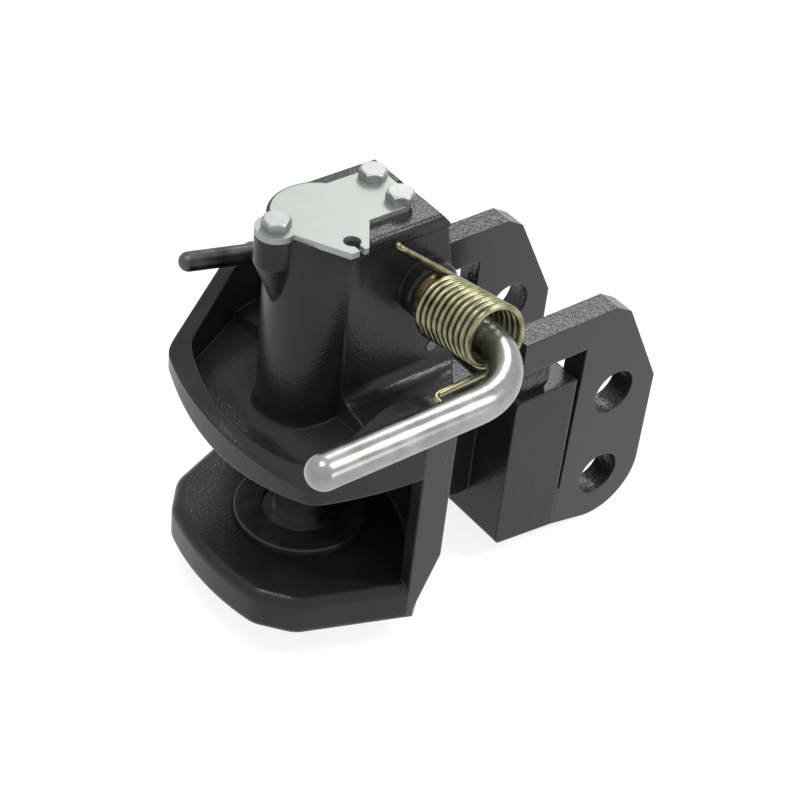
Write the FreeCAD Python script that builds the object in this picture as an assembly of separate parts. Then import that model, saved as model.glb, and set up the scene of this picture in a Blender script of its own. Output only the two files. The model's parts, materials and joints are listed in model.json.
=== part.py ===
import FreeCAD, Part
import math
import os

# Automatic pin hitch. Millimetres, +Z up, +Y towards the mounting plates.
# Origin: coupling pin axis at the top of the wear ring, in the middle plane.

# Mounting plates
PLATE_OUTER = 54.0
PLATE_THICK = 15.0
BORE_RADIUS = 14.0
BORE_Y = 172.5
BORE_UPPER_Z = 44.5
BORE_SPACING = 61.0
BORE_EDGE = 31.0
PLATE_TOP = 107.0
PLATE_TOP_REAR_Y = 163.5
PLATE_BEVEL_Y = 174.5
PLATE_BEVEL_DROP = 6.5
ARM_DEPTH = 21.0

# Rear block of the casting, which the plates are welded to
BLOCK_FRONT = 98.5
BLOCK_LENGTH = 43.0
BLOCK_TOP = 66.5
BLOCK_BOTTOM = -36.0
BLOCK_BOTTOM_FALL = 5.4
BLOCK_ROUND = 4.0
SLIT_WIDTH = 3.3
SLIT_BOTTOM = -15.0
WELD_LENGTH = 23.0
WELD_INSET = 2.5

# Jaws
JAW_FRONT = 63.5
JAW_SHOULDER_X = 40.0
JAW_SHOULDER_Y = 58.0
JAW_CORNER_X = 58.0
JAW_CORNER_Y = 43.0
CHEEK_X = 80.0
CHEEK_Y = 14.0
JAW_CORNER_ROUND = 18.0
LOWER_JAW_TOP = -4.0
LOWER_JAW_BOTTOM = -30.0
LOWER_EDGE_ROUND = 6.0
UPPER_FRONT = 58.0
UPPER_CORNER_X = 67.0
UPPER_CORNER_Y = 46.0
UPPER_CORNER_ROUND = 11.0
RIM_FRONT_TOP = 80.0
WING_TOP = 122.0
WING_FULL_Y = -2.0
WING_FALL_Y = 22.0
WING_BEND = 20.0
MOUTH_CEILING = 52.0
MOUTH_FLARE_RISE = 20.5
MOUTH_FLARE_START = 26.0
RIM_WIDTH = 9.0
DISH_FLOOR = 73.0
DISH_RISE_Y = -34.0
RIM_ROUND = 3.0

# Throat wall and neck
THROAT_DEPTH = 50.0
THROAT_HALF = 72.0
CHEEK_REAR_Y = 36.0
CHEEK_REAR_X = 77.0
NECK_HALF = 26.0
NECK_BOTTOM = -18.0
UNDERCUT_HEIGHT = 60.0
UNDERCUT_REACH = 34.0
THROAT_THICK = 9.0

# Tower
TOWER_RADIUS = 29.0
TOWER_TOP = 192.0
TOWER_HALF_TOP = 27.5
TOWER_HALF_BASE = 31.5
TOWER_FLAT_FRONT = -4.0
TOWER_REAR_TOP = 56.0
TOWER_REAR_BASE = 71.0
TOWER_BASE_FILLET = 9.0
SHOULDER_INNER_Z = 96.0
SHOULDER_OUTER_Z = 86.0
LIP_HEIGHT = 8.0
LIP_REACH = 2.0
LIP_ROUND = 3.0
REAR_BEVEL = 6.0
CAVITY_RADIUS = 21.0
CRANK_SLOT_HALF = 5.8
CRANK_SLOT_BOTTOM = 100.0
CRANK_SLOT_FRONT_LOW = 118.0
CRANK_SLOT_FRONT_HIGH = 180.0
CRANK_SWEEP_GAP = 1.4

# Coupling pin and its bearings
PIN_RADIUS = 15.5
PIN_BOTTOM = -20.0
PIN_LENGTH = 130.0
PIN_CHAMFER = 4.0
PIN_RUNNING_GAP = 0.05
CLEVIS_DEPTH = 33.0
CLEVIS_GAP = 0.9
GUIDE_WALL = 5.0
GUIDE_TOP = 90.0
RING_RADIUS = 37.0
RING_HEIGHT = 9.0
BUSH_WALL = 6.0
SEAT_GAP = 0.06
CROSS_PIN_RADIUS = 4.0
CROSS_PIN_BELOW_TOP = 6.0

# Lever, crank and torsion spring
SHAFT_Y = 44.0
SHAFT_Z = 152.0
SHAFT_RADIUS = 9.0
SHAFT_FAR_X = -40.0
LEVER_BEND_X = 80.0
LEVER_BEND_RADIUS = 38.0
LEVER_TIP_Y = -91.0
SHAFT_GAP = 0.05
SHAFT_BUSH_WALL = 3.0
BOSS_RADIUS = 16.0
BOSS_FACE_X = 37.0
ARM_RADIUS = 5.4
ARM_SOCKET_DEPTH = 14.0
ARM_TURN_X = -54.0
ARM_KNEE = (-58.0, 6.0, 131.0)
ARM_END = (-70.0, -32.0, 131.0)
ARM_BEND_RADIUS = 12.0
CRANK_THICK = 9.0
CRANK_HUB_RADIUS = 12.5
CRANK_REACH = 67.0
CRANK_FORK_WALL = 4.5
CRANK_FORK_SLOT = 15.6
CRANK_FORK_DEPTH = 33.0
CRANK_LEAD_DEG = 50.4
ROLL_PIN_RADIUS = 2.5
WIRE_RADIUS = 1.75
COIL_RADIUS = 15.9
COIL_TURNS = 10.39
COIL_NEAR_X = 90.0
COIL_FAR_X = 46.0
COIL_TILT_DEG = 11.5
SPRING_REST_GAP = 0.3
TAIL_FORWARD = 42.0
TAIL_BEND_RADIUS = 4.0
TAIL_REACH_X = 116.0
TAIL_UPWARD = 42.0
TAIL_LEAN_RADIUS = 2.4

# Cover and its screws
COVER_THICK = 3.5
LOBE_RADIUS = 10.5
LOBE_TURN_DEG = 20.0
FRONT_SCREW_Y = -29.5
REAR_SCREW_X = 11.3
REAR_SCREW_Y = 37.0
SCREW_RADIUS = 4.0
SCREW_GRIP = 11.0
SCREW_GAP = 0.1
HEAD_FLATS = 13.0
HEAD_HEIGHT = 5.3
HEAD_CHAMFER = 0.9
LOBE_BOSS_DEPTH = 16.0
LOBE_BOSS_TAPER = 26.0
COVER_REAR_HALF = 18.0
COVER_REAR_Y = 44.5
COVER_WAIST_Y = 13.4
COVER_BULGE_X = -24.3
TAB_REACH_X = 36.5
TAB_FRONT_Y = -11.0
TAB_REAR_Y = -0.5
KEYHOLE_X = 28.1
KEYHOLE_Y = -4.6
KEYHOLE_RADIUS = 4.4
KEYHOLE_SLOT = 3.0

# Release trigger in the roof of the mouth
TRIGGER_HALF = 4.0
TRIGGER_SIDE_GAP = 1.0
TRIGGER_PIVOT_Y = 52.0
TRIGGER_PIVOT_Z = 111.0
TRIGGER_EYE_RADIUS = 6.5
TRIGGER_PIN_RADIUS = 3.5
TRIGGER_NOSE_Y = 40.0
TRIGGER_NOSE_Z = 46.0
TRIGGER_NOSE_RADIUS = 5.0
TRIGGER_TOP_Y = 51.0
TRIGGER_TOP_Z = 126.0
TRIGGER_TOP_RADIUS = 3.5
TRIGGER_SLOT_FRONT = 33.5
TRIGGER_SLOT_REAR = 59.5
TRIGGER_SWING_ROOM = 3.0
TRIGGER_SPRING_Z = 79.0
TRIGGER_SPRING_RADIUS = 3.2
TRIGGER_WIRE_RADIUS = 0.6
TRIGGER_SPRING_TURNS = 6.0
TRIGGER_SPRING_BORE_END = 74.0

V = FreeCAD.Vector
EXTRA = 1.0

plate_inner = PLATE_OUTER - PLATE_THICK
bore_lower_z = BORE_UPPER_Z - BORE_SPACING
block_rear = BLOCK_FRONT + BLOCK_LENGTH
pin_top = PIN_BOTTOM + PIN_LENGTH
cross_pin_z = pin_top - CROSS_PIN_BELOW_TOP
cavity_rear = SHAFT_Y + CRANK_HUB_RADIUS + CRANK_SWEEP_GAP
crank_front = SHAFT_Y - CRANK_REACH - CRANK_SWEEP_GAP
lever_arm_x = LEVER_BEND_X + LEVER_BEND_RADIUS
shaft_bush_radius = SHAFT_RADIUS + SHAFT_GAP + SHAFT_BUSH_WALL


def line(a, b):
    return Part.LineSegment(V(*a), V(*b)).toShape()


def arc(a, b, c):
    return Part.Arc(V(*a), V(*b), V(*c)).toShape()


def face(edges):
    return Part.Face(Part.Wire(Part.__sortEdges__(edges)))


def polygon(points):
    return Part.Face(Part.makePolygon([V(*p) for p in points + points[:1]]))


def cylinder(radius, length, start, direction):
    return Part.makeCylinder(radius, length, V(*start), V(*direction))


def box(x0, x1, y0, y1, z0, z1):
    return Part.makeBox(x1 - x0, y1 - y0, z1 - z0, V(x0, y0, z0))


def vertical_edges(shape):
    """Straight edges of a shape that run along Z."""
    found = []
    for edge in shape.Edges:
        a, b = edge.Vertexes[0].Point, edge.Vertexes[-1].Point
        if (a - b).Length > 1e-6 and abs(abs((a - b).z) - (a - b).Length) < 1e-6:
            found.append(edge)
    return found


def edges_at_height(shape, z):
    """Edges that lie in the horizontal plane at the height z."""
    return [e for e in shape.Edges if max(abs(e.BoundBox.ZMin - z), abs(e.BoundBox.ZMax - z)) < 1e-4]


def rounded_path(points, radius):
    """Wire of straight runs through the points, with a tangent arc of one radius at each turn."""
    pts = [V(*p) for p in points]
    edges = []
    start = pts[0]
    for before, corner, after in zip(pts, pts[1:], pts[2:]):
        u = (before - corner).normalize()
        w = (after - corner).normalize()
        half = u.getAngle(w) / 2
        cut = radius / math.tan(half)
        middle = corner + (u + w).normalize() * (radius / math.sin(half) - radius)
        edges.append(Part.LineSegment(start, corner + u * cut).toShape())
        edges.append(Part.Arc(corner + u * cut, middle, corner + w * cut).toShape())
        start = corner + w * cut
    edges.append(Part.LineSegment(start, pts[-1]).toShape())
    return Part.Wire(edges)


def rod(path, radius):
    """Round bar or wire of one radius along a path."""
    first = path.Edges[0]
    start = first.valueAt(first.FirstParameter)
    tangent = first.tangentAt(first.FirstParameter)
    ring = Part.Wire(Part.Circle(start, tangent, radius).toShape())
    return path.makePipeShell([ring], True, False)


def dome(end, before, radius):
    """Half ball that closes a round bar which comes from the point before and stops at end."""
    return Part.makeSphere(radius, V(*end), V(*end) - V(*before), 0, 90, 360)


def jaw_outline(front, bends, shrink, z):
    """Plan of a jaw: front arc, one or two corners a side, cheeks, and a straight back."""
    right = [(x - shrink, shrink - y, z) for x, y in bends]
    right.append((CHEEK_X - shrink, CHEEK_Y, z))
    right.append((CHEEK_REAR_X - shrink, CHEEK_REAR_Y, z))
    left = [(-x, y, z) for x, y, z in right]
    edges = [arc(left[0], (0, shrink - front, z), right[0]), line(right[-1], left[-1])]
    for side in (left, right):
        edges += [line(p, q) for p, q in zip(side, side[1:])]
    return face(edges)


def jaw_prism(front, bends, shrink, z0, z1, corner_round):
    """Jaw plan drawn up between two heights, with its front corners rounded."""
    prism = jaw_outline(front, bends, shrink, z0).extrude(V(0, 0, z1 - z0))
    corners = [e for e in vertical_edges(prism) if e.Vertexes[0].Y < CHEEK_Y - EXTRA]
    return prism.makeFillet(corner_round, corners)


def lower_jaw():
    bends = [(JAW_SHOULDER_X, JAW_SHOULDER_Y), (JAW_CORNER_X, JAW_CORNER_Y)]
    plate = jaw_prism(JAW_FRONT, bends, 0, LOWER_JAW_BOTTOM, LOWER_JAW_TOP, JAW_CORNER_ROUND)
    rim = edges_at_height(plate, LOWER_JAW_TOP) + edges_at_height(plate, LOWER_JAW_BOTTOM)
    return plate.makeFillet(LOWER_EDGE_ROUND, [e for e in rim if e.BoundBox.YMin < CHEEK_Y - EXTRA])


def above(points, bend):
    """Space above a line in the side view, right across the jaws; the line bends with one radius."""
    x = -2 * CHEEK_X
    path = rounded_path([(x, y, z) for y, z in points], bend).Edges
    front, back = (x, *points[0]), (x, *points[-1])
    front_top, back_top = (x, points[0][0], 2 * TOWER_TOP), (x, points[-1][0], 2 * TOWER_TOP)
    loop = path + [line(back, back_top), line(back_top, front_top), line(front_top, front)]
    return Part.Face(Part.Wire(loop)).extrude(V(-2 * x, 0, 0))


def upper_jaw():
    """Roof of the mouth: low rim in front, wings that rise at both sides, and a dish inside them."""
    bends = [(UPPER_CORNER_X, UPPER_CORNER_Y)]
    plate = jaw_prism(UPPER_FRONT, bends, 0, MOUTH_CEILING, TOWER_TOP, UPPER_CORNER_ROUND)
    far = 2 * CHEEK_X
    rim_line = [(-far, RIM_FRONT_TOP), (-UPPER_CORNER_Y, RIM_FRONT_TOP), (WING_FULL_Y, WING_TOP),
                (WING_FALL_Y, WING_TOP), (CHEEK_REAR_Y + EXTRA, SHOULDER_OUTER_Z)]
    plate = plate.cut(above(rim_line, WING_BEND))
    dish = jaw_prism(UPPER_FRONT, bends, RIM_WIDTH, MOUTH_CEILING, TOWER_TOP, UPPER_CORNER_ROUND - RIM_ROUND)
    floor_line = [(-far, DISH_FLOOR), (DISH_RISE_Y, DISH_FLOOR), (TOWER_FLAT_FRONT, SHOULDER_OUTER_Z),
                  (far, SHOULDER_OUTER_Z)]
    return plate.cut(dish.common(above(floor_line, WING_BEND)))


def mouth_flare():
    """Conical lead-in that opens the roof of the mouth outwards."""
    reach = 2 * CHEEK_X
    slope = MOUTH_FLARE_RISE / (CHEEK_X - MOUTH_FLARE_START)
    profile = polygon([
        (MOUTH_FLARE_START, 0, MOUTH_CEILING - EXTRA),
        (MOUTH_FLARE_START, 0, MOUTH_CEILING),
        (reach, 0, MOUTH_CEILING + slope * (reach - MOUTH_FLARE_START)),
        (reach, 0, MOUTH_CEILING - EXTRA),
    ])
    return profile.revolve(V(0, 0, 0), V(0, 0, 1), 360)


def throat_wall():
    """Wide back of the mouth with two cheeks, narrowing to the neck and undercut from below."""
    foot = LOWER_JAW_BOTTOM + LOWER_EDGE_ROUND
    plan = polygon([
        (-CHEEK_X, CHEEK_Y, foot), (-CHEEK_REAR_X, CHEEK_REAR_Y, foot), (-NECK_HALF, TOWER_REAR_BASE, foot),
        (NECK_HALF, TOWER_REAR_BASE, foot), (CHEEK_REAR_X, CHEEK_REAR_Y, foot), (CHEEK_X, CHEEK_Y, foot),
    ])
    wall = plan.extrude(V(0, 0, SHOULDER_OUTER_Z - foot))
    side = -CHEEK_X - EXTRA
    low, high = LOWER_JAW_BOTTOM - EXTRA, LOWER_JAW_BOTTOM + UNDERCUT_HEIGHT
    undercut = polygon([
        (side, CHEEK_Y + EXTRA, low), (side, CHEEK_Y + EXTRA + UNDERCUT_REACH, high),
        (side, BLOCK_FRONT, high), (side, BLOCK_FRONT, low),
    ]).extrude(V(-2 * side, 0, 0))
    sagitta = THROAT_DEPTH - CHEEK_Y
    bend = (THROAT_HALF ** 2 + sagitta ** 2) / (2 * sagitta)
    kept = cylinder(bend + THROAT_THICK, high - low, (0, THROAT_DEPTH - bend, low), (0, 0, 1))
    return wall.fuse(lower_jaw()).cut(undercut.cut(kept))


def mouth_space(z0, z1):
    """Space of the mouth in front of the throat curve, between two heights."""
    half, far = THROAT_HALF, 2 * CHEEK_X
    plan = face([
        arc((half, CHEEK_Y, z0), (0, THROAT_DEPTH, z0), (-half, CHEEK_Y, z0)),
        line((-half, CHEEK_Y, z0), (-far, CHEEK_Y, z0)),
        line((-far, CHEEK_Y, z0), (-far, -far, z0)),
        line((-far, -far, z0), (far, -far, z0)),
        line((far, -far, z0), (far, CHEEK_Y, z0)),
        line((far, CHEEK_Y, z0), (half, CHEEK_Y, z0)),
    ])
    return plan.extrude(V(0, 0, z1 - z0))


def rear_block():
    """Thick cross block behind the neck, with a rounded outline along its ends."""
    profile = polygon([
        (-PLATE_OUTER, BLOCK_FRONT, BLOCK_BOTTOM),
        (-PLATE_OUTER, block_rear, BLOCK_BOTTOM - BLOCK_BOTTOM_FALL),
        (-PLATE_OUTER, block_rear, BLOCK_TOP),
        (-PLATE_OUTER, BLOCK_FRONT, BLOCK_TOP),
    ])
    block = profile.extrude(V(2 * PLATE_OUTER, 0, 0))
    along = [e for e in block.Edges if e.BoundBox.XLength > PLATE_OUTER]
    block = block.makeFillet(BLOCK_ROUND, [e for e in along if e.CenterOfMass.y < block_rear - EXTRA])
    neck = box(-NECK_HALF, NECK_HALF, 0, BLOCK_FRONT + EXTRA, NECK_BOTTOM, BLOCK_TOP - BLOCK_ROUND)
    return block.fuse(neck.makeFillet(BLOCK_ROUND, [e for e in neck.Edges if e.BoundBox.YLength > EXTRA]))


def tower_front():
    """Round column about the pin with a hollow fillet at its foot."""
    foot = TOWER_RADIUS + TOWER_BASE_FILLET
    bend = TOWER_BASE_FILLET * (1 - math.sqrt(0.5))
    profile = face([
        line((0, 0, MOUTH_CEILING), (foot, 0, MOUTH_CEILING)),
        line((foot, 0, MOUTH_CEILING), (foot, 0, DISH_FLOOR)),
        arc((foot, 0, DISH_FLOOR), (TOWER_RADIUS + bend, 0, DISH_FLOOR + bend),
            (TOWER_RADIUS, 0, DISH_FLOOR + TOWER_BASE_FILLET)),
        line((TOWER_RADIUS, 0, DISH_FLOOR + TOWER_BASE_FILLET), (TOWER_RADIUS, 0, TOWER_TOP)),
        line((TOWER_RADIUS, 0, TOWER_TOP), (0, 0, TOWER_TOP)),
        line((0, 0, TOWER_TOP), (0, 0, MOUTH_CEILING)),
    ])
    return profile.revolve(V(0, 0, 0), V(0, 0, 1), 360)


def tower_side(sign, y):
    """Half of the tower's cross section: shoulder, hollow fillet, drafted wall and top."""
    base = TOWER_HALF_BASE
    fillet = TOWER_BASE_FILLET
    bend = fillet * (1 - math.sqrt(0.5))
    points = [
        (sign * CHEEK_X, y, SHOULDER_OUTER_Z),
        (sign * (base + fillet), y, SHOULDER_INNER_Z),
        (sign * base, y, SHOULDER_INNER_Z + fillet),
        (sign * TOWER_HALF_TOP, y, TOWER_TOP),
    ]
    hollow = (sign * (base + bend), y, SHOULDER_INNER_Z + bend)
    return [line(points[0], points[1]), arc(points[1], hollow, points[2]), line(points[2], points[3])]


def tower_rear():
    """Box part of the tower behind the pin, standing on the shoulders of the upper jaw."""
    y = TOWER_FLAT_FRONT
    low = MOUTH_CEILING + MOUTH_FLARE_RISE
    edges = tower_side(1, y) + tower_side(-1, y)
    edges += [
        line((-TOWER_HALF_TOP, y, TOWER_TOP), (TOWER_HALF_TOP, y, TOWER_TOP)),
        line((CHEEK_X, y, SHOULDER_OUTER_Z), (CHEEK_X, y, low)),
        line((CHEEK_X, y, low), (-CHEEK_X, y, low)),
        line((-CHEEK_X, y, low), (-CHEEK_X, y, SHOULDER_OUTER_Z)),
    ]
    body = face(edges).extrude(V(0, TOWER_REAR_BASE - y, 0))
    lip = box(-TOWER_HALF_TOP - LIP_REACH, TOWER_HALF_TOP + LIP_REACH, y, TOWER_REAR_BASE,
              TOWER_TOP - LIP_HEIGHT, TOWER_TOP)
    lip_sides = [e for e in edges_at_height(lip, TOWER_TOP) if e.BoundBox.YLength > EXTRA]
    body = body.fuse(lip.makeFillet(LIP_ROUND, lip_sides))
    slope = polygon([
        (-CHEEK_X, TOWER_REAR_BASE, SHOULDER_INNER_Z),
        (-CHEEK_X, TOWER_REAR_TOP, TOWER_TOP - REAR_BEVEL),
        (-CHEEK_X, TOWER_REAR_TOP - REAR_BEVEL, TOWER_TOP + EXTRA),
        (-CHEEK_X, BLOCK_FRONT, TOWER_TOP + EXTRA),
        (-CHEEK_X, BLOCK_FRONT, SHOULDER_INNER_Z),
    ]).extrude(V(2 * CHEEK_X, 0, 0))
    run = (y + UPPER_CORNER_Y) / (CHEEK_Y + UPPER_CORNER_Y)
    front = UPPER_CORNER_X + (CHEEK_X - UPPER_CORNER_X) * run
    plan = polygon([
        (-front, y, 0), (-CHEEK_X, CHEEK_Y, 0), (-CHEEK_REAR_X, CHEEK_REAR_Y, 0),
        (-NECK_HALF, TOWER_REAR_BASE, 0), (NECK_HALF, TOWER_REAR_BASE, 0),
        (CHEEK_REAR_X, CHEEK_REAR_Y, 0), (CHEEK_X, CHEEK_Y, 0), (front, y, 0),
    ]).extrude(V(0, 0, TOWER_TOP + EXTRA))
    return body.common(plan).cut(slope)


def lobe_boss():
    """Boss under the front screw that tapers back into the round column."""
    start = TOWER_TOP - LOBE_BOSS_DEPTH
    top = cylinder(LOBE_RADIUS, LOBE_BOSS_DEPTH, (0, FRONT_SCREW_Y, start), (0, 0, 1))
    inner = LOBE_RADIUS / 2
    wide = Part.Wire(Part.Circle(V(0, FRONT_SCREW_Y, start), V(0, 0, 1), LOBE_RADIUS).toShape())
    foot = V(0, inner - TOWER_RADIUS, start - LOBE_BOSS_TAPER)
    narrow = Part.Wire(Part.Circle(foot, V(0, 0, 1), inner).toShape())
    return top.fuse(Part.makeLoft([wide, narrow], True))


def screw_places():
    return [(0, FRONT_SCREW_Y), (-REAR_SCREW_X, REAR_SCREW_Y), (REAR_SCREW_X, REAR_SCREW_Y)]


def body_hollows():
    """Every space cut out of the casting, from the mouth to the screw holes."""
    roof = MOUTH_CEILING
    hollows = [mouth_space(LOWER_JAW_TOP, roof)]
    hollows.append(mouth_flare().common(mouth_space(roof - EXTRA, SHOULDER_OUTER_Z)))
    hollows.append(cylinder(CAVITY_RADIUS, TOWER_TOP, (0, 0, GUIDE_TOP), (0, 0, 1)))
    half = CRANK_SLOT_HALF
    hollows.append(box(-half, half, 0, cavity_rear, CRANK_SLOT_BOTTOM, TOWER_TOP + EXTRA))
    hollows.append(box(-half, half, crank_front, 0, CRANK_SLOT_FRONT_LOW, CRANK_SLOT_FRONT_HIGH))
    slot_half = TRIGGER_HALF + TRIGGER_SIDE_GAP
    slot_low = TRIGGER_NOSE_Z - TRIGGER_NOSE_RADIUS - TRIGGER_SWING_ROOM
    slot_high = TRIGGER_TOP_Z + TRIGGER_TOP_RADIUS + TRIGGER_SIDE_GAP
    hollows.append(box(-slot_half, slot_half, TRIGGER_SLOT_FRONT, TRIGGER_SLOT_REAR, slot_low, slot_high))
    spring_bore = TRIGGER_SPRING_RADIUS + 2 * TRIGGER_WIRE_RADIUS
    hollows.append(cylinder(spring_bore, TRIGGER_SPRING_BORE_END - THROAT_DEPTH,
                            (0, THROAT_DEPTH, TRIGGER_SPRING_Z), (0, 1, 0)))
    hollows.append(cylinder(TRIGGER_PIN_RADIUS + SEAT_GAP, 4 * TOWER_HALF_BASE,
                            (-2 * TOWER_HALF_BASE, TRIGGER_PIVOT_Y, TRIGGER_PIVOT_Z), (1, 0, 0)))
    guide_radius = PIN_RADIUS + PIN_RUNNING_GAP + GUIDE_WALL + SEAT_GAP
    hollows.append(cylinder(guide_radius, GUIDE_TOP - roof + 2 * EXTRA, (0, 0, roof - EXTRA), (0, 0, 1)))
    hollows.append(cylinder(RING_RADIUS + SEAT_GAP, RING_HEIGHT + EXTRA, (0, 0, -RING_HEIGHT), (0, 0, 1)))
    bush_radius = PIN_RADIUS + PIN_RUNNING_GAP + BUSH_WALL + SEAT_GAP
    hollows.append(cylinder(bush_radius, -2 * LOWER_JAW_BOTTOM, (0, 0, 2 * LOWER_JAW_BOTTOM), (0, 0, 1)))
    hollows.append(cylinder(shaft_bush_radius + SEAT_GAP, 2 * BOSS_FACE_X + 2 * EXTRA,
                            (-BOSS_FACE_X - EXTRA, SHAFT_Y, SHAFT_Z), (1, 0, 0)))
    for x, y in screw_places():
        hollows.append(cylinder(SCREW_RADIUS + SCREW_GAP, SCREW_GRIP + EXTRA,
                                (x, y, TOWER_TOP - SCREW_GRIP), (0, 0, 1)))
    return hollows


def hitch_body():
    boss = cylinder(BOSS_RADIUS, 2 * BOSS_FACE_X, (-BOSS_FACE_X, SHAFT_Y, SHAFT_Z), (1, 0, 0))
    boss = boss.makeChamfer(EXTRA, boss.Edges[0:1] + boss.Edges[2:3])
    solid = throat_wall().fuse([rear_block(), upper_jaw(), tower_front(), tower_rear(), lobe_boss(), boss])
    return solid.cut(body_hollows()).removeSplitter()


def plate_profile(x):
    """Plate outline: long arm over the block, sloped back and a corner round the lower bore."""
    rear = BORE_Y + BORE_EDGE
    corner = V(x, block_rear, BLOCK_BOTTOM - BLOCK_BOTTOM_FALL)
    centre = V(x, BORE_Y, bore_lower_z)
    reach = centre - corner
    heading = math.atan2(reach.z, reach.y) - math.asin(BORE_EDGE / reach.Length)
    run = math.sqrt(reach.Length ** 2 - BORE_EDGE ** 2)
    touch = corner + V(0, math.cos(heading), math.sin(heading)) * run
    middle = (heading - math.pi / 2) / 2
    bend = centre + V(0, math.cos(middle), math.sin(middle)) * BORE_EDGE
    arm_low = PLATE_TOP - ARM_DEPTH
    slit = block_rear + SLIT_WIDTH
    points = [
        V(x, rear, BORE_UPPER_Z), V(x, PLATE_BEVEL_Y, PLATE_TOP - PLATE_BEVEL_DROP),
        V(x, PLATE_TOP_REAR_Y, PLATE_TOP),
        V(x, BLOCK_FRONT, PLATE_TOP), V(x, BLOCK_FRONT, arm_low), V(x, slit, arm_low), V(x, slit, BLOCK_TOP),
        V(x, block_rear + SLIT_WIDTH / 2, SLIT_BOTTOM), V(x, block_rear, SLIT_BOTTOM), corner, touch,
    ]
    edges = [Part.LineSegment(a, b).toShape() for a, b in zip(points, points[1:])]
    edges.append(Part.Arc(touch, bend, V(x, rear, bore_lower_z)).toShape())
    edges.append(Part.LineSegment(V(x, rear, bore_lower_z), points[0]).toShape())
    return Part.Face(Part.Wire(edges))


def mounting_plate(side):
    x = plate_inner if side > 0 else -PLATE_OUTER
    plate = plate_profile(x).extrude(V(PLATE_THICK, 0, 0))
    for z in (BORE_UPPER_Z, bore_lower_z):
        plate = plate.cut(cylinder(BORE_RADIUS, PLATE_THICK, (x, BORE_Y, z), (1, 0, 0)))
    return plate


def plate_weld(side):
    """Weld bead between the arm of a plate and the top of the block, bulging on both faces."""
    inner, outer = side * (plate_inner + 2 * WELD_INSET), side * (PLATE_OUTER - 2 * WELD_INSET)
    bulge = side * WELD_INSET
    low, high = BLOCK_TOP, PLATE_TOP - ARM_DEPTH
    middle = (low + high) / 2
    y = BLOCK_FRONT + BLOCK_ROUND
    bead = face([
        line((inner, y, low), (outer, y, low)),
        arc((outer, y, low), (outer + bulge, y, middle), (outer, y, high)),
        line((outer, y, high), (inner, y, high)),
        arc((inner, y, high), (inner - bulge, y, middle), (inner, y, low)),
    ])
    return bead.extrude(V(0, WELD_LENGTH - BLOCK_ROUND, 0))


def tube(inner, outer, z0, z1):
    return cylinder(outer, z1 - z0, (0, 0, z0), (0, 0, 1)).cut(cylinder(inner, z1 - z0, (0, 0, z0), (0, 0, 1)))


def wear_ring():
    ring = tube(PIN_RADIUS + PIN_RUNNING_GAP + BUSH_WALL + 2 * SEAT_GAP, RING_RADIUS, -RING_HEIGHT, 0)
    top = [e for e in edges_at_height(ring, 0) if e.BoundBox.XLength > 2 * RING_RADIUS - EXTRA]
    return ring.makeChamfer(EXTRA, top)


def lower_pin_bush():
    inner = PIN_RADIUS + PIN_RUNNING_GAP
    return tube(inner, inner + BUSH_WALL, LOWER_JAW_BOTTOM, -EXTRA)


def upper_guide_bush():
    inner = PIN_RADIUS + PIN_RUNNING_GAP
    return tube(inner, inner + GUIDE_WALL, MOUTH_CEILING, GUIDE_TOP)


def coupling_pin():
    """Round pin with a lead chamfer below and a slotted head above for the crank."""
    pin = cylinder(PIN_RADIUS, PIN_LENGTH, (0, 0, PIN_BOTTOM), (0, 0, 1))
    pin = pin.makeChamfer(PIN_CHAMFER, edges_at_height(pin, PIN_BOTTOM))
    half = CRANK_THICK / 2 + CLEVIS_GAP
    slot = box(-half, half, -PIN_RADIUS, PIN_RADIUS, pin_top - CLEVIS_DEPTH, pin_top + EXTRA)
    hole = cylinder(CROSS_PIN_RADIUS + SEAT_GAP, 2 * PIN_RADIUS, (-PIN_RADIUS, 0, cross_pin_z), (1, 0, 0))
    return pin.cut([slot, hole])


def lift_cross_pin():
    half = math.sqrt(PIN_RADIUS ** 2 - CROSS_PIN_RADIUS ** 2)
    return cylinder(CROSS_PIN_RADIUS, 2 * half, (-half, 0, cross_pin_z), (1, 0, 0))


def lift_crank():
    """Forked crank on the shaft; the fork straddles the cross pin of the coupling pin."""
    half = CRANK_FORK_SLOT / 2 + CRANK_FORK_WALL
    nose = CRANK_FORK_WALL
    x = -CRANK_THICK / 2
    inner = CRANK_REACH - CRANK_FORK_DEPTH
    outline = polygon([
        (x, 0, half), (x, -CRANK_REACH + nose, half), (x, -CRANK_REACH, half - nose),
        (x, -CRANK_REACH, CRANK_FORK_SLOT / 2), (x, -inner, CRANK_FORK_SLOT / 2),
        (x, -inner, -CRANK_FORK_SLOT / 2), (x, -CRANK_REACH, -CRANK_FORK_SLOT / 2),
        (x, -CRANK_REACH, nose - half), (x, -CRANK_REACH + nose, -half), (x, 0, -half),
    ])
    crank = outline.extrude(V(CRANK_THICK, 0, 0))
    crank = crank.fuse(cylinder(CRANK_HUB_RADIUS, CRANK_THICK, (x, 0, 0), (1, 0, 0)))
    crank = crank.cut(cylinder(SHAFT_RADIUS + SEAT_GAP, CRANK_THICK, (x, 0, 0), (1, 0, 0)))
    reach = CRANK_HUB_RADIUS + EXTRA
    crank = crank.cut(cylinder(ROLL_PIN_RADIUS + SEAT_GAP, 2 * reach, (0, 0, -reach), (0, 0, 1)))
    crank.rotate(V(0, 0, 0), V(1, 0, 0), CRANK_LEAD_DEG)
    crank.translate(V(0, SHAFT_Y, SHAFT_Z))
    return crank


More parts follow.
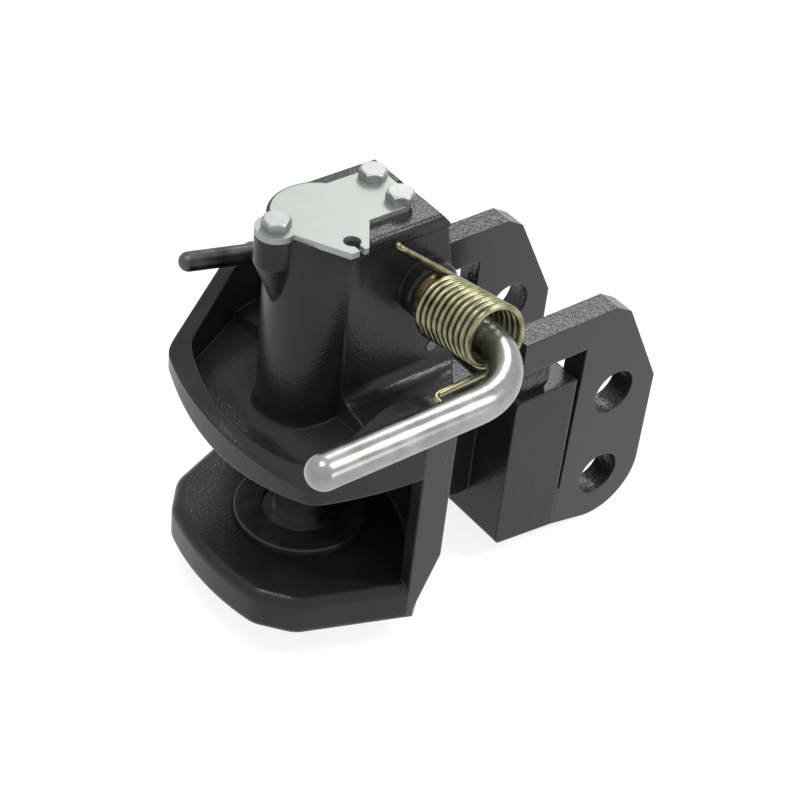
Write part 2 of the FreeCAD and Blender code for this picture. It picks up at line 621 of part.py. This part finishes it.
def crank_roll_pin():
    length = 2 * (CRANK_HUB_RADIUS - 2 * EXTRA)
    pin = cylinder(ROLL_PIN_RADIUS, length, (0, 0, -length / 2), (0, 0, 1))
    pin.rotate(V(0, 0, 0), V(1, 0, 0), CRANK_LEAD_DEG)
    pin.translate(V(0, SHAFT_Y, SHAFT_Z))
    return pin


def hand_lever():
    """Round bar: straight shaft through the tower, one wide bend, and an arm with a domed tip."""
    start = (SHAFT_FAR_X, SHAFT_Y, SHAFT_Z)
    corner = (lever_arm_x, SHAFT_Y, SHAFT_Z)
    end = (lever_arm_x, LEVER_TIP_Y + SHAFT_RADIUS, SHAFT_Z)
    lever = rod(rounded_path([start, corner, end], LEVER_BEND_RADIUS), SHAFT_RADIUS)
    lever = lever.fuse(dome(end, corner, SHAFT_RADIUS))
    socket = cylinder(ARM_RADIUS + SEAT_GAP, ARM_SOCKET_DEPTH, start, (1, 0, 0))
    cross = cylinder(ROLL_PIN_RADIUS + SEAT_GAP, 4 * SHAFT_RADIUS, (0, 0, -2 * SHAFT_RADIUS), (0, 0, 1))
    cross.rotate(V(0, 0, 0), V(1, 0, 0), CRANK_LEAD_DEG)
    cross.translate(V(0, SHAFT_Y, SHAFT_Z))
    return lever.cut([socket, cross]).removeSplitter()


def remote_arm():
    """Thinner bar set into the far end of the shaft, bent forwards and down, with a domed tip."""
    start = (SHAFT_FAR_X + ARM_SOCKET_DEPTH, SHAFT_Y, SHAFT_Z)
    turn = (ARM_TURN_X, SHAFT_Y, SHAFT_Z)
    arm = rod(rounded_path([start, turn, ARM_KNEE, ARM_END], ARM_BEND_RADIUS), ARM_RADIUS)
    return arm.fuse(dome(ARM_END, ARM_KNEE, ARM_RADIUS))


def shaft_bush(side):
    inner = SHAFT_RADIUS + SHAFT_GAP
    start = CRANK_SLOT_HALF if side > 0 else -BOSS_FACE_X
    length = BOSS_FACE_X - CRANK_SLOT_HALF
    bush = cylinder(shaft_bush_radius, length, (start, SHAFT_Y, SHAFT_Z), (1, 0, 0))
    return bush.cut(cylinder(inner, length, (start, SHAFT_Y, SHAFT_Z), (1, 0, 0)))


def torsion_spring():
    """Loose spring about the shaft; one tail leans on the tower, the other hooks under the lever."""
    tilt = math.radians(COIL_TILT_DEG)
    length = (COIL_NEAR_X - COIL_FAR_X) / math.cos(tilt)
    tail_z = SHAFT_Z - SHAFT_RADIUS - SPRING_REST_GAP - WIRE_RADIUS
    axis = V(-math.cos(tilt), 0, -math.sin(tilt))
    down = V(math.sin(tilt), 0, -math.cos(tilt))
    centre = V(COIL_NEAR_X, SHAFT_Y, tail_z) - down * COIL_RADIUS
    coil = Part.makeLongHelix(length / COIL_TURNS, length, COIL_RADIUS, 0, True)
    coil.Placement = FreeCAD.Placement(centre, FreeCAD.Rotation(down, axis.cross(down), axis, "ZXY"))
    first, last = coil.Edges[0], coil.Edges[-1]
    near, far = first.valueAt(first.FirstParameter), last.valueAt(last.LastParameter)
    forward = first.tangentAt(first.FirstParameter) * -1
    upward = last.tangentAt(last.LastParameter)
    hook = near + forward * TAIL_FORWARD
    hook_end = V(TAIL_REACH_X, hook.y, hook.z)
    lean = far + upward * TAIL_UPWARD
    lean_end = V(TOWER_HALF_TOP + LIP_REACH + SPRING_REST_GAP, lean.y, lean.z)
    lower = rounded_path([hook_end, hook, near], TAIL_BEND_RADIUS).Edges
    upper = rounded_path([far, lean, lean_end], TAIL_LEAN_RADIUS).Edges
    return rod(Part.Wire(lower + coil.Edges + upper), WIRE_RADIUS)


def trigger_spring():
    """Small compression spring between the back of the trigger and its blind bore."""
    share = (TRIGGER_PIVOT_Z - TRIGGER_SPRING_Z) / (TRIGGER_PIVOT_Z - TRIGGER_NOSE_Z)
    middle = TRIGGER_PIVOT_Y + share * (TRIGGER_NOSE_Y - TRIGGER_PIVOT_Y)
    lean = math.atan2(TRIGGER_PIVOT_Y - TRIGGER_NOSE_Y, TRIGGER_PIVOT_Z - TRIGGER_NOSE_Z)
    back = middle + TRIGGER_EYE_RADIUS / math.cos(lean) + TRIGGER_WIRE_RADIUS
    length = TRIGGER_SPRING_BORE_END - TRIGGER_WIRE_RADIUS - SPRING_REST_GAP - back
    coil = Part.makeLongHelix(length / TRIGGER_SPRING_TURNS, length, TRIGGER_SPRING_RADIUS, 0, False)
    turned = FreeCAD.Rotation(V(0, 0, 1), V(0, 1, 0))
    coil.Placement = FreeCAD.Placement(V(0, back, TRIGGER_SPRING_Z), turned)
    return rod(Part.Wire(coil.Edges), TRIGGER_WIRE_RADIUS)


def cover_plate():
    """Stamped cover with three screw corners and an open keyhole in its side tab."""
    z = TOWER_TOP
    lobe = LOBE_RADIUS
    waist = (-COVER_REAR_HALF, COVER_WAIST_Y, z)
    turn = math.radians(LOBE_TURN_DEG)
    neck_x = lobe * math.cos(turn)
    neck_y = FRONT_SCREW_Y + lobe * math.sin(turn)
    corner = COVER_REAR_HALF - REAR_SCREW_X
    edges = [
        arc((-neck_x, neck_y, z), (0, FRONT_SCREW_Y - lobe, z), (neck_x, neck_y, z)),
        line((neck_x, neck_y, z), (TAB_REACH_X, TAB_FRONT_Y, z)),
        line((TAB_REACH_X, TAB_FRONT_Y, z), (TAB_REACH_X, TAB_REAR_Y, z)),
        line((TAB_REACH_X, TAB_REAR_Y, z), (COVER_REAR_HALF, COVER_WAIST_Y, z)),
        line((COVER_REAR_HALF, COVER_WAIST_Y, z), (COVER_REAR_HALF, COVER_REAR_Y - corner, z)),
        line((COVER_REAR_HALF, COVER_REAR_Y - corner, z), (REAR_SCREW_X, COVER_REAR_Y, z)),
        line((REAR_SCREW_X, COVER_REAR_Y, z), (-REAR_SCREW_X, COVER_REAR_Y, z)),
        line((-REAR_SCREW_X, COVER_REAR_Y, z), (-COVER_REAR_HALF, COVER_REAR_Y - corner, z)),
        line((-COVER_REAR_HALF, COVER_REAR_Y - corner, z), waist),
        arc(waist, (COVER_BULGE_X, TAB_REAR_Y + TAB_FRONT_Y / 2, z), (-neck_x, neck_y, z)),
    ]
    plate = face(edges).extrude(V(0, 0, COVER_THICK))
    cuts = [cylinder(SCREW_RADIUS + SCREW_GAP, COVER_THICK, (x, y, z), (0, 0, 1)) for x, y in screw_places()]
    cuts.append(cylinder(KEYHOLE_RADIUS, COVER_THICK, (KEYHOLE_X, KEYHOLE_Y, z), (0, 0, 1)))
    half = KEYHOLE_SLOT / 2
    cuts.append(box(KEYHOLE_X, TAB_REACH_X + EXTRA, KEYHOLE_Y - half, KEYHOLE_Y + half, z, z + COVER_THICK))
    return plate.cut(cuts)


def cover_bolts():
    """Hexagon screws with a chamfered crown, one at each corner of the cover."""
    top = TOWER_TOP + COVER_THICK
    corner = HEAD_FLATS / math.sqrt(3)
    solids = []
    for x, y in screw_places():
        angles = [math.radians(60 * i) for i in range(6)]
        head = polygon([(x + corner * math.cos(a), y + corner * math.sin(a), top) for a in angles])
        head = head.extrude(V(0, 0, HEAD_HEIGHT))
        crown_radius = HEAD_FLATS / 2 - HEAD_CHAMFER / 2
        crown = Part.makeCone(corner + HEAD_HEIGHT, crown_radius, HEAD_HEIGHT, V(x, y, top))
        start = (x, y, TOWER_TOP - SCREW_GRIP)
        shank = cylinder(SCREW_RADIUS, SCREW_GRIP + COVER_THICK + EXTRA, start, (0, 0, 1))
        solids.append(head.common(crown).fuse(shank))
    return Part.makeCompound(solids)


def release_trigger():
    """Flat rocker: nose in the roof of the mouth, eye on the pivot pin, short finger above."""
    x = -TRIGGER_HALF
    length = 2 * TRIGGER_HALF
    pivot = (x, TRIGGER_PIVOT_Y, TRIGGER_PIVOT_Z)
    nose = (x, TRIGGER_NOSE_Y, TRIGGER_NOSE_Z)
    finger = (x, TRIGGER_TOP_Y, TRIGGER_TOP_Z)
    body = link(pivot, TRIGGER_EYE_RADIUS, nose, TRIGGER_NOSE_RADIUS, length)
    body = body.fuse(link(pivot, TRIGGER_EYE_RADIUS, finger, TRIGGER_TOP_RADIUS, length))
    return body.cut(cylinder(TRIGGER_PIN_RADIUS + PIN_RUNNING_GAP, length, pivot, (1, 0, 0)))


def link(a, radius_a, b, radius_b, length):
    """Flat bar with two round ends, lying in a plane across X."""
    along = V(*b) - V(*a)
    tilt = math.acos((radius_a - radius_b) / along.Length)
    base = math.atan2(along.z, along.y)
    def rim(centre, radius, angle):
        return V(*centre) + V(0, math.cos(angle), math.sin(angle)) * radius
    points = [rim(a, radius_a, base + tilt), rim(b, radius_b, base + tilt),
              rim(b, radius_b, base - tilt), rim(a, radius_a, base - tilt)]
    bar = Part.Face(Part.makePolygon(points + points[:1])).extrude(V(length, 0, 0))
    return bar.fuse([cylinder(radius_a, length, a, (1, 0, 0)), cylinder(radius_b, length, b, (1, 0, 0))])


def trigger_pivot_pin():
    start = (-TOWER_HALF_BASE, TRIGGER_PIVOT_Y, TRIGGER_PIVOT_Z)
    return cylinder(TRIGGER_PIN_RADIUS, 2 * TOWER_HALF_BASE, start, (1, 0, 0))


PIECES = {
    "hitch_body": hitch_body,
    "left_mounting_plate": lambda: mounting_plate(-1),
    "right_mounting_plate": lambda: mounting_plate(1),
    "left_plate_weld": lambda: plate_weld(-1),
    "right_plate_weld": lambda: plate_weld(1),
    "wear_ring": wear_ring,
    "lower_pin_bush": lower_pin_bush,
    "upper_guide_bush": upper_guide_bush,
    "coupling_pin": coupling_pin,
    "lift_cross_pin": lift_cross_pin,
    "lift_crank": lift_crank,
    "crank_roll_pin": crank_roll_pin,
    "hand_lever": hand_lever,
    "remote_arm": remote_arm,
    "left_shaft_bush": lambda: shaft_bush(-1),
    "right_shaft_bush": lambda: shaft_bush(1),
    "torsion_spring": torsion_spring,
    "cover_plate": cover_plate,
    "cover_bolts": cover_bolts,
    "release_trigger": release_trigger,
    "trigger_pivot_pin": trigger_pivot_pin,
    "trigger_spring": trigger_spring,
}

os.makedirs("parts", exist_ok=True)
for name, make in PIECES.items():
    shape = make()
    shape.exportStep("parts/" + name + ".step")
    print(name, shape.isValid(), len(shape.Solids), round(shape.Volume / 1000, 1))
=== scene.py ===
import json
import math

import bpy
from mathutils import Matrix, Vector


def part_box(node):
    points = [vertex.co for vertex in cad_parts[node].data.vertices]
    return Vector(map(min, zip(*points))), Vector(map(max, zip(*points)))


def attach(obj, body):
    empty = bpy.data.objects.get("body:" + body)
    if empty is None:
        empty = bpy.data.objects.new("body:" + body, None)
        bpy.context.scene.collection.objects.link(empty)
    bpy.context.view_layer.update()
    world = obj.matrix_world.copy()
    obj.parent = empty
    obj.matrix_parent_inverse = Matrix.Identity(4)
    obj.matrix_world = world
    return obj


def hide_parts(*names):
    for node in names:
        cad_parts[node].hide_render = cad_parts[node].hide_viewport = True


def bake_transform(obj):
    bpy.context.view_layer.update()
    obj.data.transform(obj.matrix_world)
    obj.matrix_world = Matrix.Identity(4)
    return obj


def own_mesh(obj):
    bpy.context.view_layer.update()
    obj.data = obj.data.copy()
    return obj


# Automatic pin hitch: gloss black casting, zinc-plated fittings, white studio.

# Camera, as the photograph was taken
CAMERA_PLACE = Vector((0.6733, -0.5336, 0.7886))
CAMERA_AZIMUTH_DEG = 48.47
CAMERA_ELEVATION_DEG = 39.51
CAMERA_ROLL_DEG = 6.80
LENS_MM = 95.9
SENSOR_MM = 36.0

# Studio
FLOOR_DROP = 0.001
FLOOR_SIZE = 12.0
WHITE = (1.0, 1.0, 1.0, 1.0)
FLOOR_SHADE = (0.30, 0.285, 0.31, 1.0)
FLOOR_GLOW = 0.85
ROOM_SHADE = (0.60, 0.59, 0.61, 1.0)
LIGHT_AIM = (0.0, 0.05, 0.08)

# Finishes
COLOUR_DETAIL = 4.0
GRAIN_DETAIL = 3.0
COLOUR_SPAN = (0.35, 0.65)
ROUGHNESS_SPAN = (0.3, 0.7)
EDGE_SAMPLES = 6
BROAD_FACE_LEAN = 0.5

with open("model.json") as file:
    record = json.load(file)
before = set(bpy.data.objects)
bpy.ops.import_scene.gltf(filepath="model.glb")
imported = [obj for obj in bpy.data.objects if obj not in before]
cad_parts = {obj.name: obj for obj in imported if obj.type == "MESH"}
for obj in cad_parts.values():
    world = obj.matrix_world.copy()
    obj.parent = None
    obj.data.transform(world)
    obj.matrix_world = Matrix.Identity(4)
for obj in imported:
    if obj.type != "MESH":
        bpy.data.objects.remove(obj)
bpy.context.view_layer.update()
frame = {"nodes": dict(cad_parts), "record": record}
nodes = frame["nodes"]


def add(tree, kind, **settings):
    """New shader node with its properties and input values set by name."""
    made = tree.nodes.new(kind)
    for name, value in settings.items():
        if name.title() in made.inputs:
            made.inputs[name.title()].default_value = value
        else:
            setattr(made, name, value)
    return made


def noise(tree, place, size, detail):
    """Cloudy texture whose patches are about that size across, in metres."""
    cloud = add(tree, "ShaderNodeTexNoise", scale=1 / size, detail=detail)
    tree.links.new(place.outputs["Object"], cloud.inputs["Vector"])
    return cloud


def finish_material(name, dark, light, metallic, roughness, patch, grain, depth, edge):
    """Finish with drifting colour and roughness, a fine grain and softened edges.

    patch, grain, depth and edge are the sizes of the drift, the grain, its height and the edges.
    """
    material = bpy.data.materials.new(name)
    material.use_nodes = True
    tree = material.node_tree
    shader = tree.nodes["Principled BSDF"]
    shader.inputs["Metallic"].default_value = metallic
    place = add(tree, "ShaderNodeTexCoord")
    clouds = noise(tree, place, patch, COLOUR_DETAIL)
    ramp = add(tree, "ShaderNodeValToRGB")
    for stop, position, colour in zip(ramp.color_ramp.elements, COLOUR_SPAN, (dark, light)):
        stop.position = position
        stop.color = (*colour, 1)
    spread = add(tree, "ShaderNodeMapRange")
    spread.inputs["From Min"].default_value, spread.inputs["From Max"].default_value = ROUGHNESS_SPAN
    spread.inputs["To Min"].default_value, spread.inputs["To Max"].default_value = roughness
    rounded = add(tree, "ShaderNodeBevel", samples=EDGE_SAMPLES, radius=edge)
    bump = add(tree, "ShaderNodeBump", strength=1.0, distance=depth)
    fine = noise(tree, place, grain, GRAIN_DETAIL)
    tree.links.new(clouds.outputs["Fac"], ramp.inputs["Fac"])
    tree.links.new(ramp.outputs["Color"], shader.inputs["Base Color"])
    tree.links.new(clouds.outputs["Fac"], spread.inputs["Value"])
    tree.links.new(spread.outputs["Result"], shader.inputs["Roughness"])
    tree.links.new(fine.outputs["Fac"], bump.inputs["Height"])
    tree.links.new(rounded.outputs["Normal"], bump.inputs["Normal"])
    tree.links.new(bump.outputs["Normal"], shader.inputs["Normal"])
    return material


def lacquer(material, shine, weight, roughness):
    """Clear gloss over a paint that has a shine of its own."""
    shader = material.node_tree.nodes["Principled BSDF"]
    shader.inputs["Specular IOR Level"].default_value = shine
    shader.inputs["Coat Weight"].default_value = weight
    shader.inputs["Coat Roughness"].default_value = roughness
    bump = material.node_tree.nodes["Bump"]
    material.node_tree.links.new(bump.outputs["Normal"], shader.inputs["Coat Normal"])
    return material


def grain_on_edges(material):
    """Leaves the grain on a plate's cut edges and takes it off its two broad faces."""
    tree = material.node_tree
    place = add(tree, "ShaderNodeTexCoord")
    parts = add(tree, "ShaderNodeSeparateXYZ")
    across = add(tree, "ShaderNodeMath", operation="ABSOLUTE")
    on_edge = add(tree, "ShaderNodeMath", operation="LESS_THAN")
    on_edge.inputs[1].default_value = BROAD_FACE_LEAN
    tree.links.new(place.outputs["Normal"], parts.inputs["Vector"])
    tree.links.new(parts.outputs["X"], across.inputs[0])
    tree.links.new(across.outputs["Value"], on_edge.inputs[0])
    tree.links.new(on_edge.outputs["Value"], tree.nodes["Bump"].inputs["Strength"])


def black_casting():
    made = finish_material("casting paint", dark=(0.015, 0.0135, 0.015), light=(0.024, 0.0215, 0.024),
                           metallic=0.0, roughness=(0.30, 0.44),
                           patch=0.03, grain=0.0014, depth=0.00017, edge=0.0018)
    return lacquer(made, shine=0.1, weight=0.36, roughness=0.07)


def black_plate():
    made = finish_material("plate paint", dark=(0.026, 0.023, 0.029), light=(0.034, 0.030, 0.037),
                           metallic=0.0, roughness=(0.22, 0.34),
                           patch=0.05, grain=0.0022, depth=0.0006, edge=0.0012)
    grain_on_edges(made)
    return lacquer(made, shine=0.1, weight=0.5, roughness=0.14)


def black_weld():
    made = finish_material("weld paint", dark=(0.018, 0.016, 0.018), light=(0.030, 0.027, 0.030),
                           metallic=0.0, roughness=(0.18, 0.3),
                           patch=0.01, grain=0.0045, depth=0.0016, edge=0.0015)
    return lacquer(made, shine=0.15, weight=0.5, roughness=0.06)


def dark_ring():
    return finish_material("wear ring paint", dark=(0.012, 0.010, 0.012), light=(0.03, 0.027, 0.03),
                           metallic=0.2, roughness=(0.3, 0.5),
                           patch=0.012, grain=0.0015, depth=0.00008, edge=0.0006)


def dark_pin():
    return finish_material("coupling pin steel", dark=(0.06, 0.055, 0.055), light=(0.12, 0.115, 0.115),
                           metallic=0.9, roughness=(0.28, 0.45),
                           patch=0.02, grain=0.001, depth=0.00003, edge=0.0006)


def bare_metal(name, dark, light, roughness, edge):
    return finish_material(name, dark, light, metallic=1.0, roughness=roughness,
                           patch=0.012, grain=0.0012, depth=0.00002, edge=edge)


def yellow_zinc():
    return finish_material("spring zinc", dark=(0.18, 0.185, 0.10), light=(0.34, 0.32, 0.21),
                           metallic=1.0, roughness=(0.24, 0.38),
                           patch=0.006, grain=0.001, depth=0.00002, edge=0.0003)


finishes = {
    "casting_paint": black_casting(),
    "plate_paint": black_plate(),
    "weld_paint": black_weld(),
    "wear_steel": dark_ring(),
    "pin_steel": dark_pin(),
    "bush_steel": bare_metal(
        "bush steel", dark=(0.2, 0.2, 0.21), light=(0.3, 0.3, 0.31),
        roughness=(0.3, 0.42), edge=0.0004),
    "bush_bronze": bare_metal(
        "bush bronze", dark=(0.42, 0.29, 0.12), light=(0.55, 0.4, 0.2),
        roughness=(0.28, 0.4), edge=0.0004),
    "cover_zinc": bare_metal(
        "cover zinc", dark=(0.31, 0.337, 0.31), light=(0.365, 0.392, 0.37),
        roughness=(0.5, 0.6), edge=0.0006),
    "bolt_zinc": bare_metal(
        "screw zinc", dark=(0.30, 0.315, 0.31), light=(0.40, 0.415, 0.41),
        roughness=(0.46, 0.56), edge=0.0006),
    "spring_zinc": yellow_zinc(),
    "lever_zinc": bare_metal(
        "lever zinc", dark=(0.27, 0.27, 0.257), light=(0.35, 0.35, 0.337),
        roughness=(0.20, 0.30), edge=0.0006),
    # Arm: zinc plating like the lever's, its colour darkened well below the lever's as painted shade
    # for the shadow the arm lies in
    "arm_zinc": bare_metal(
        "arm zinc with painted shade", dark=(0.05, 0.052, 0.05), light=(0.11, 0.115, 0.11),
        roughness=(0.3, 0.44), edge=0.0006),
    "pivot_steel": bare_metal(
        "pivot steel", dark=(0.08, 0.08, 0.085), light=(0.14, 0.14, 0.145),
        roughness=(0.28, 0.4), edge=0.0004),
}
for subpart in frame["record"]["subparts"]:
    piece = nodes[subpart["node"]]
    piece.data.materials.clear()
    piece.data.materials.append(finishes[subpart["material_slot"]])


def stand_in(node):
    """Copy of a spring that takes its place; the original is hidden."""
    twin = nodes[node].copy()
    twin.data = nodes[node].data.copy()
    twin.name = f"{node}_wire"
    bpy.context.scene.collection.objects.link(twin)
    twin.parent = None
    twin.matrix_world = nodes[node].matrix_world.copy()
    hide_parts(node)
    return twin


def wound_spring():
    """Spring round the lever's shaft: one leg on the casting, the other under the lever."""
    spring = stand_in("torsion_spring")
    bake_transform(spring)


def pressed_spring():
    """Spring behind the trigger, copied with a mesh of its own and hung on the body."""
    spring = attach(stand_in("trigger_spring"), "body")
    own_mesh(spring)


def ray_that_sees(tree):
    """1 for a ray from the camera, off a shiny face or through glass, otherwise 0."""
    path = add(tree, "ShaderNodeLightPath")
    camera_or_shine = add(tree, "ShaderNodeMath", operation="MAXIMUM")
    any_of_them = add(tree, "ShaderNodeMath", operation="MAXIMUM")
    tree.links.new(path.outputs["Is Camera Ray"], camera_or_shine.inputs[0])
    tree.links.new(path.outputs["Is Glossy Ray"], camera_or_shine.inputs[1])
    tree.links.new(camera_or_shine.outputs["Value"], any_of_them.inputs[0])
    tree.links.new(path.outputs["Is Transmission Ray"], any_of_them.inputs[1])
    return any_of_them.outputs["Value"]


def white_paper():
    """Paper that looks white, keeps a soft shadow and throws little light back."""
    material = bpy.data.materials.new("white paper")
    material.use_nodes = True
    tree = material.node_tree
    tree.nodes.clear()
    glow = add(tree, "ShaderNodeEmission", color=WHITE, strength=FLOOR_GLOW)
    matt = add(tree, "ShaderNodeBsdfDiffuse", color=FLOOR_SHADE)
    lit = add(tree, "ShaderNodeAddShader")
    mixed = add(tree, "ShaderNodeMixShader")
    out = add(tree, "ShaderNodeOutputMaterial")
    tree.links.new(matt.outputs["BSDF"], lit.inputs[0])
    tree.links.new(glow.outputs["Emission"], lit.inputs[1])
    tree.links.new(ray_that_sees(tree), mixed.inputs["Fac"])
    tree.links.new(matt.outputs["BSDF"], mixed.inputs[1])
    tree.links.new(lit.outputs["Shader"], mixed.inputs[2])
    tree.links.new(mixed.outputs["Shader"], out.inputs["Surface"])
    return material


def studio_floor():
    lowest = min(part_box(name)[0].z for name in nodes)
    bpy.ops.mesh.primitive_plane_add(size=FLOOR_SIZE, location=(0, 0, lowest - FLOOR_DROP))
    floor = bpy.context.object
    floor.name = "studio floor"
    floor.data.materials.append(white_paper())


def studio_room():
    """World that is white behind the object and in its shine, and lights it softly."""
    world = bpy.data.worlds.new("white room")
    bpy.context.scene.world = world
    world.use_nodes = True
    tree = world.node_tree
    tree.nodes.clear()
    dim = add(tree, "ShaderNodeBackground", color=ROOM_SHADE, strength=1.0)
    bright = add(tree, "ShaderNodeBackground", color=WHITE, strength=1.0)
    mixed = add(tree, "ShaderNodeMixShader")
    out = add(tree, "ShaderNodeOutputWorld")
    tree.links.new(ray_that_sees(tree), mixed.inputs["Fac"])
    tree.links.new(dim.outputs["Background"], mixed.inputs[1])
    tree.links.new(bright.outputs["Background"], mixed.inputs[2])
    tree.links.new(mixed.outputs["Shader"], out.inputs["Surface"])


def softbox(name, place, size, power):
    """Oblong lamp that faces the middle of the object."""
    lamp = bpy.data.lights.new(name, "AREA")
    lamp.shape = "RECTANGLE"
    lamp.size, lamp.size_y = size
    lamp.energy = power
    holder = bpy.data.objects.new(name, lamp)
    bpy.context.scene.collection.objects.link(holder)
    holder.location = place
    holder.rotation_euler = (Vector(LIGHT_AIM) - Vector(place)).to_track_quat("-Z", "Y").to_euler()


def studio_camera():
    """Camera turned by its azimuth, elevation and roll, as seen from the lever's side."""
    azimuth = math.radians(CAMERA_AZIMUTH_DEG)
    elevation = math.radians(CAMERA_ELEVATION_DEG)
    roll = math.radians(CAMERA_ROLL_DEG)
    level = Vector((math.cos(azimuth), math.sin(azimuth), 0))
    ahead = Vector((-math.sin(azimuth) * math.cos(elevation),
                    math.cos(azimuth) * math.cos(elevation), -math.sin(elevation)))
    upright = level.cross(ahead)
    right = math.cos(roll) * level + math.sin(roll) * upright
    up = -math.sin(roll) * level + math.cos(roll) * upright
    camera = bpy.data.cameras.new("photo camera")
    camera.lens = LENS_MM
    camera.sensor_width = SENSOR_MM
    holder = bpy.data.objects.new("photo camera", camera)
    bpy.context.scene.collection.objects.link(holder)
    turned = Matrix((right, up, -ahead)).transposed().to_4x4()
    holder.matrix_world = Matrix.Translation(CAMERA_PLACE) @ turned
    bpy.context.scene.camera = holder


wound_spring()
pressed_spring()
studio_floor()
studio_room()
softbox("overhead softbox", place=(-0.72, 0.93, 1.2), size=(0.5, 0.45), power=7)
softbox("lever strip", place=(0.75, 0.75, 1.25), size=(0.12, 0.6), power=9)
softbox("side fill", place=(1.6, 0.5, 0.4), size=(0.6, 0.5), power=2.5)
softbox("top fill", place=(-0.1, -0.35, 1.7), size=(0.5, 0.5), power=7)
studio_camera()
bpy.context.scene.view_settings.view_transform = "Standard"
